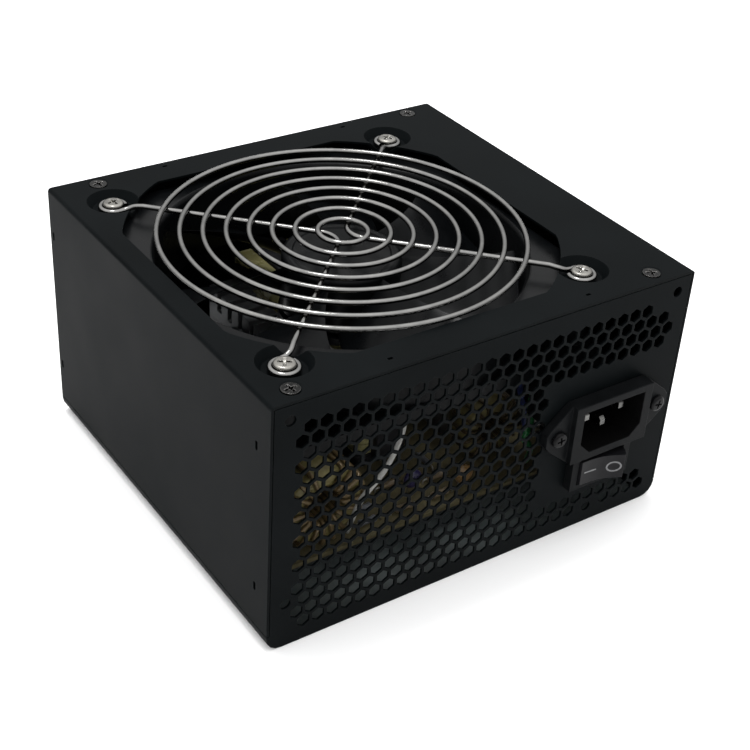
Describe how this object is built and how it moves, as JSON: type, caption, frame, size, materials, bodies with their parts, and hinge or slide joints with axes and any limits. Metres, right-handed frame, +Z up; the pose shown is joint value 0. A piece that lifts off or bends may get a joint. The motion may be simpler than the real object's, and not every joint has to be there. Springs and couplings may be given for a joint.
{
  "type": "power supply unit",
  "caption": "Desktop computer power supply in a folded steel case, with a wire-guarded cooling fan on top, honeycomb vent, mains inlet and rocker switch.",
  "frame": {"origin": "middle of the case floor's underside", "axes": "+X to the right seen from the inlet panel, -Y out of the inlet panel, +Z up out of the fan side"},
  "size_m": [0.15, 0.1494, 0.0879],
  "materials": {
    "case_steel": "fine black powder coat",
    "chrome_wire": "bright chromed wire",
    "zinc_steel": "zinc-plated steel",
    "fan_plastic": "black moulded plastic",
    "socket_plastic": "black moulded plastic",
    "black_screw": "blackened steel",
    "ferrite": "dull grey-black",
    "bronze": "sintered bronze",
    "copper_wire": "enamelled copper winding",
    "board_laminate": "varnished laminate",
    "film_sheet": "thin insulating film",
    "aluminium": "extruded",
    "resin": "moulded resin",
    "can_sleeve": "shrunk sleeve",
    "tape_winding": "yellow tape",
    "film_capacitor": "yellow moulded case",
    "fuse_sleeve": "sleeved fuse",
    "lead_brown": "insulated wire",
    "lead_blue": "insulated wire",
    "lead_green": "insulated wire",
    "lead_white": "insulated wire",
    "grommet_rubber": "black rubber"
  },
  "bodies": {
    "case": {"base_chassis": "case_steel", "top_cover": "case_steel", "guard_screw_1": "zinc_steel", "guard_screw_2": "zinc_steel", "guard_screw_3": "zinc_steel", "guard_screw_4": "zinc_steel", "board_screw_1": "zinc_steel", "board_screw_2": "zinc_steel", "board_screw_3": "zinc_steel", "board_screw_4": "zinc_steel", "inlet_pin_live": "zinc_steel", "inlet_pin_neutral": "zinc_steel", "inlet_pin_earth": "zinc_steel", "switch_terminal_line": "zinc_steel", "switch_terminal_load": "zinc_steel", "fan_guard": "chrome_wire", "fan_frame": "fan_plastic", "fan_bearing": "bronze", "fan_stator": "copper_wire", "output_inductor": "copper_wire", "common_mode_choke": "copper_wire", "fan_circuit_board": "board_laminate", "main_board": "board_laminate", "insulating_sheet": "film_sheet", "inlet_body": "socket_plastic", "switch_housing": "socket_plastic", "inlet_screw_1": "black_screw", "inlet_screw_2": "black_screw", "cover_screw_1": "black_screw", "cover_screw_2": "black_screw", "cover_screw_3": "black_screw", "cover_screw_4": "black_screw", "heatsink_primary": "aluminium", "heatsink_secondary": "aluminium", "power_transistor_1": "resin", "power_transistor_2": "resin", "output_rectifier_1": "resin", "output_rectifier_2": "resin", "bridge_rectifier": "resin", "bulk_capacitor_1": "can_sleeve", "bulk_capacitor_2": "can_sleeve", "output_capacitor_1": "can_sleeve", "output_capacitor_2": "can_sleeve", "output_capacitor_3": "can_sleeve", "output_capacitor_4": "can_sleeve", "main_transformer": "tape_winding", "standby_transformer": "tape_winding", "x_capacitor": "film_capacitor", "fuse": "fuse_sleeve", "live_lead": "lead_brown", "neutral_lead": "lead_blue", "earth_lead": "lead_green", "fan_lead": "lead_white", "cable_grommet": "grommet_rubber"},
    "fan_rotor_body": {"fan_rotor": "fan_plastic", "fan_magnet_ring": "ferrite", "fan_shaft": "zinc_steel"},
    "rocker_body": {"rocker": "socket_plastic"}
  },
  "joints": [
    {"name": "fan_spin", "type": "hinge", "parent": "case", "child": "fan_rotor_body", "pos_m": [-0.008, 0, 0.0692], "axis": [0, 0, 1], "continuous": true},
    {"name": "rocker_tilt", "type": "hinge", "parent": "case", "child": "rocker_body", "pos_m": [0.045, -0.0712, 0.0248], "axis": [0, 0, 1], "range_deg": [0, 27]}
  ]
}
